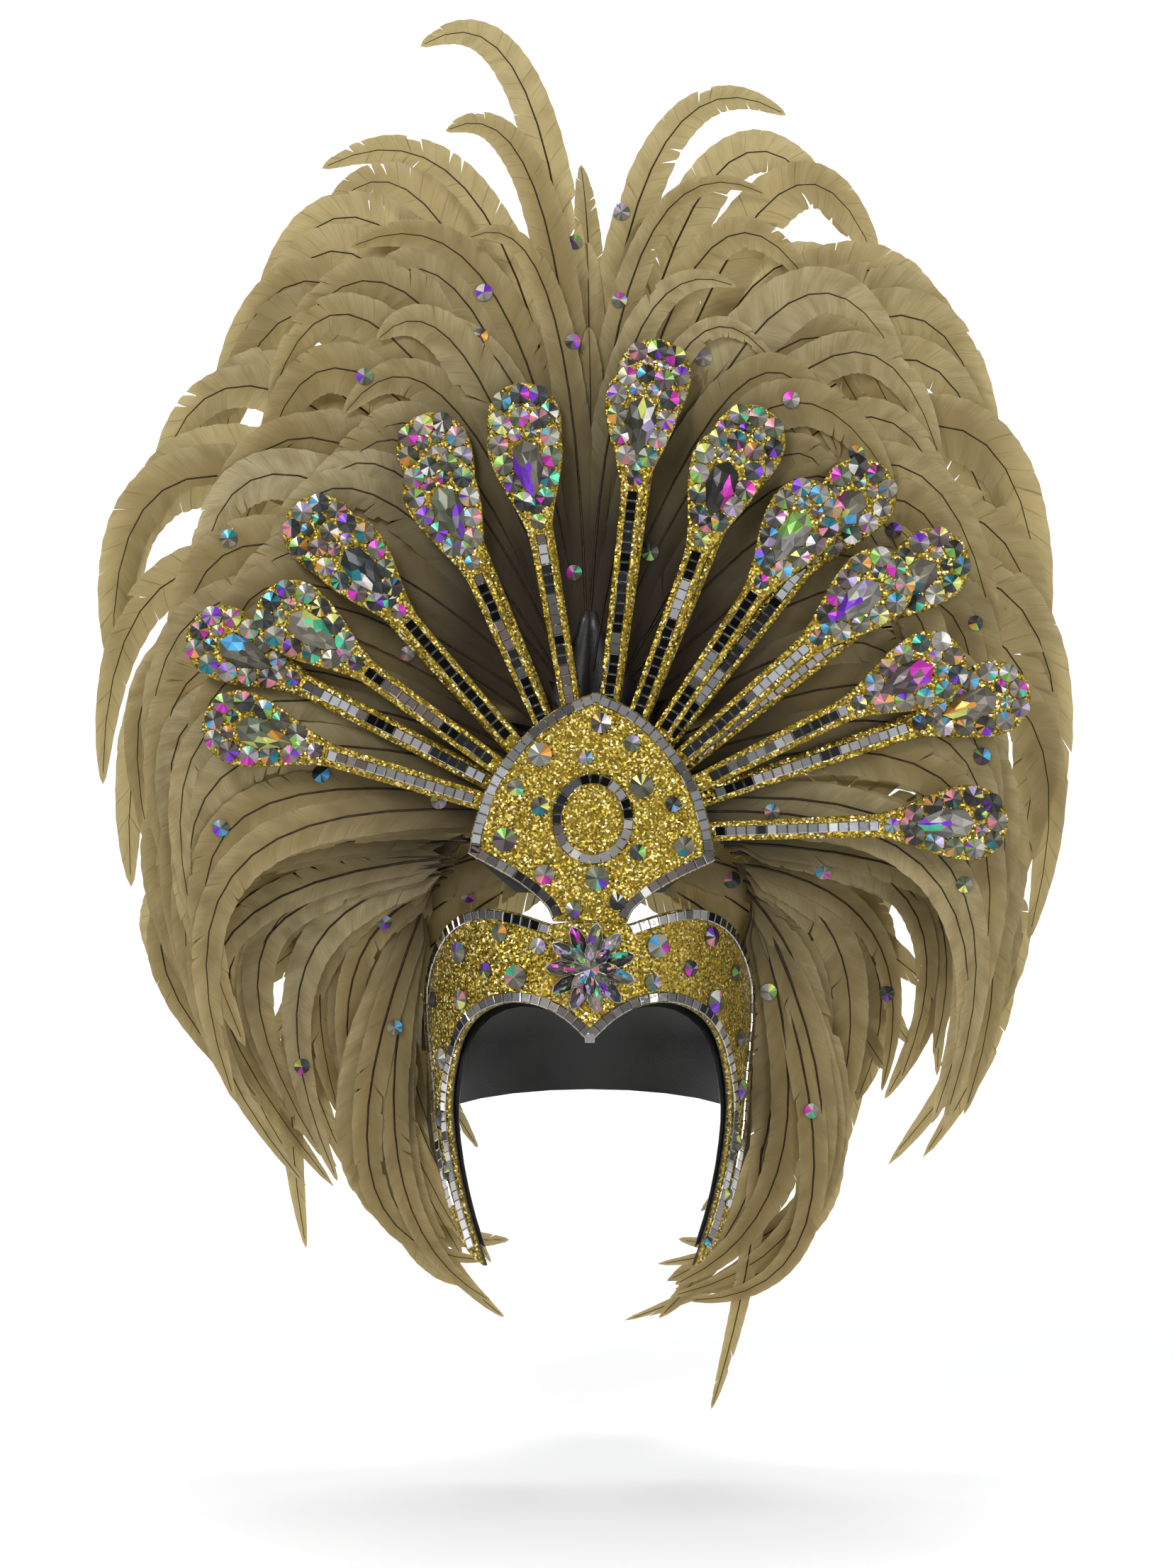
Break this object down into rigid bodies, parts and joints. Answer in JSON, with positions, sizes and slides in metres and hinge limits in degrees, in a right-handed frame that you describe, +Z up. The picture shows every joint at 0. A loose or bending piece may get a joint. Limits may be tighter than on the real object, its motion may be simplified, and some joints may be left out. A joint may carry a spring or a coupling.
{
  "type": "feather headdress",
  "caption": "Carnival headdress: a bent glitter foam headband and crest with mirror trim, fans of stone-set paddles and a mane of long curved feathers round the face.",
  "frame": {"origin": "where the crown of the wearer's head meets the inside of the cap", "axes": "-Y the way the face looks, +X to the wearer's left, +Z up"},
  "size_m": [0.5432, 0.2179, 0.7922],
  "materials": {
    "gold_glitter_foam": "gold glitter on foam sheet",
    "black_foam": "plain black, slightly glossy",
    "mirror_tiles": "small square mirror tiles",
    "crystal": "cut crystal with a rainbow coating",
    "feather": "khaki beige feather vanes with thin dark shafts"
  },
  "bodies": {
    "root": {"headpiece_front": "gold_glitter_foam", "head_cap": "black_foam", "paddle_hub": "gold_glitter_foam", "crest_trim": "mirror_tiles", "headband_trim_face": "mirror_tiles", "headband_trim_left": "mirror_tiles", "headband_trim_right": "mirror_tiles", "medallion_ring": "mirror_tiles", "flower_brooch": "crystal", "paddle_front_01": "gold_glitter_foam", "pear_front_01": "crystal", "paddle_front_02": "gold_glitter_foam", "pear_front_02": "crystal", "paddle_front_03": "gold_glitter_foam", "pear_front_03": "crystal", "paddle_front_04": "gold_glitter_foam", "pear_front_04": "crystal", "paddle_front_05": "gold_glitter_foam", "pear_front_05": "crystal", "paddle_front_06": "gold_glitter_foam", "pear_front_06": "crystal", "paddle_front_07": "gold_glitter_foam", "pear_front_07": "crystal", "paddle_front_08": "gold_glitter_foam", "pear_front_08": "crystal", "paddle_front_09": "gold_glitter_foam", "pear_front_09": "crystal", "paddle_front_10": "gold_glitter_foam", "pear_front_10": "crystal", "paddle_front_11": "gold_glitter_foam", "pear_front_11": "crystal", "paddle_back_01": "gold_glitter_foam", "pear_back_01": "crystal", "paddle_back_02": "gold_glitter_foam", "pear_back_02": "crystal", "paddle_back_03": "gold_glitter_foam", "pear_back_03": "crystal", "paddle_back_04": "gold_glitter_foam", "pear_back_04": "crystal", "paddle_back_05": "gold_glitter_foam", "pear_back_05": "crystal", "paddle_back_06": "gold_glitter_foam", "pear_back_06": "crystal", "paddle_back_07": "gold_glitter_foam", "pear_back_07": "crystal", "paddle_back_08": "gold_glitter_foam", "pear_back_08": "crystal", "paddle_back_09": "gold_glitter_foam", "pear_back_09": "crystal", "plume_front_left": "feather", "plume_front_right": "feather", "plume_middle_left": "feather", "plume_middle_right": "feather", "plume_back_left": "feather", "plume_back_right": "feather", "plume_side_left": "feather", "plume_side_right": "feather"}
  },
  "joints": []
}
